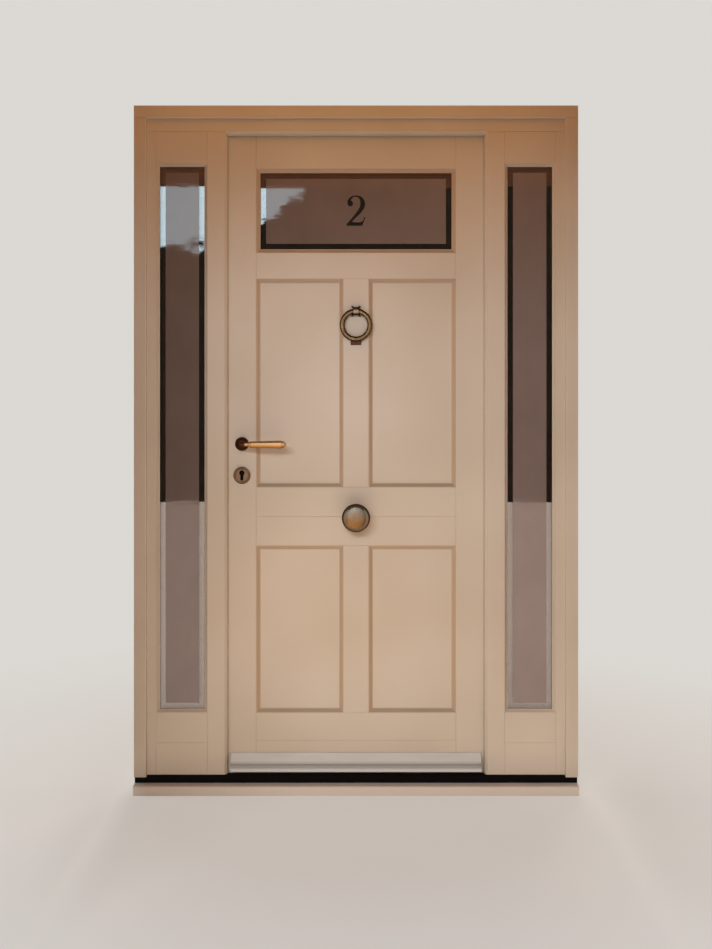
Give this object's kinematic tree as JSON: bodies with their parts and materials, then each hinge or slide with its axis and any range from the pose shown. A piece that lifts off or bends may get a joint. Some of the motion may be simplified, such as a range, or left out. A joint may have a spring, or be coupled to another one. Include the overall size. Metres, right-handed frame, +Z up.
{
  "type": "panelled front door",
  "caption": "Panelled timber front door with a top light, in its frame with a glazed light on each side, lever latch, ring knocker and centre knob.",
  "frame": {"origin": "on the underside of the sill, halfway along it, in the plane of the frame's outer face", "axes": "+X to the right seen from outside, +Y into the house, +Z up"},
  "size_m": [1.4, 0.1813, 2.17],
  "materials": {
    "painted_timber": "satin paint in a warm grey cream",
    "painted_sill": "satin paint, paler",
    "black_threshold": "black powder coat",
    "seal_rubber": "matt",
    "glass": "etched field with a clear border",
    "spacer_bar": "mill finish",
    "aged_brass": "darkened by age, brushed",
    "cylinder_brass": "satin",
    "aged_steel": "satin"
  },
  "bodies": {
    "frame": {"sill": "painted_sill", "threshold": "black_threshold", "outer_jamb_left": "painted_timber", "outer_jamb_right": "painted_timber", "mullion_left": "painted_timber", "mullion_right": "painted_timber", "head": "painted_timber", "side_top_rail_left": "painted_timber", "side_top_rail_right": "painted_timber", "side_lower_rail_left": "painted_timber", "side_lower_rail_right": "painted_timber", "side_base_rail_left": "painted_timber", "side_base_rail_right": "painted_timber", "cover_strip_left": "painted_timber", "cover_strip_right": "painted_timber", "cover_strip_top": "painted_timber", "weather_seal": "seal_rubber", "side_glass_left": "glass", "side_glass_right": "glass", "side_spacers": "spacer_bar", "side_beads_left": "painted_timber", "side_beads_right": "painted_timber", "strike_plate": "aged_steel", "hinge_frame_plates": "aged_steel", "hinge_pins": "aged_steel"},
    "leaf": {"lock_stile": "painted_timber", "hinge_stile": "painted_timber", "bottom_rail_board": "painted_timber", "bottom_rail": "painted_timber", "lock_rail_lower": "painted_timber", "lock_rail_upper": "painted_timber", "frieze_rail": "painted_timber", "top_rail": "painted_timber", "lower_muntin": "painted_timber", "upper_muntin": "painted_timber", "lower_panel_left": "painted_timber", "lower_panel_right": "painted_timber", "upper_panel_left": "painted_timber", "upper_panel_right": "painted_timber", "outside_mouldings": "painted_timber", "inside_mouldings": "painted_timber", "top_light_glass": "glass", "top_light_spacer": "spacer_bar", "weatherboard": "painted_sill", "lock_case": "aged_steel", "rose_outside": "aged_brass", "escutcheon_outside": "aged_brass", "inside_backplate": "aged_brass", "cylinder_body": "cylinder_brass", "hinge_leaf_plates": "aged_steel", "knocker_strap": "aged_brass", "knocker_strike": "aged_brass", "centre_knob": "aged_brass"},
    "lever_set": {"lever_outside": "aged_brass", "lever_inside": "aged_brass", "spindle": "aged_steel"},
    "latch": {"latch_bolt": "aged_steel"},
    "bolt": {"dead_bolt": "aged_steel"},
    "plug": {"cylinder_plug": "cylinder_brass"},
    "ring": {"knocker_ring": "aged_brass"}
  },
  "joints": [
    {"name": "leaf_swing", "type": "hinge", "parent": "frame", "child": "leaf", "pos_m": [0.4145, 0.0775, 0], "axis": [0, 0, -1], "range_deg": [0, 100]},
    {"name": "lever_turn", "type": "hinge", "parent": "leaf", "child": "lever_set", "pos_m": [-0.363, 0.047, 1.102], "axis": [0, 1, 0], "range_deg": [0, 40], "stiffness_Nm_per_rad": 1.2, "springref_deg": -45.84},
    {"name": "latch_slide", "type": "slide", "parent": "leaf", "child": "latch", "axis": [1, 0, 0], "range_m": [0, 0.011]},
    {"name": "thumb_turn", "type": "hinge", "parent": "leaf", "child": "plug", "pos_m": [-0.363, 0.047, 1.01], "axis": [0, 1, 0], "range_deg": [0, 360]},
    {"name": "dead_bolt_slide", "type": "slide", "parent": "leaf", "child": "bolt", "axis": [-1, 0, 0], "range_m": [0, 0.02]},
    {"name": "knocker_swing", "type": "hinge", "parent": "leaf", "child": "ring", "pos_m": [0, 0.01295, 1.5242], "axis": [-1, 0, 0], "range_deg": [0, 105]}
  ],
  "couplings": [
    {"joint": "latch_slide", "follows": "lever_turn", "m_per_rad": 0.0157},
    {"joint": "dead_bolt_slide", "follows": "thumb_turn", "m_per_rad": 0.00318}
  ]
}
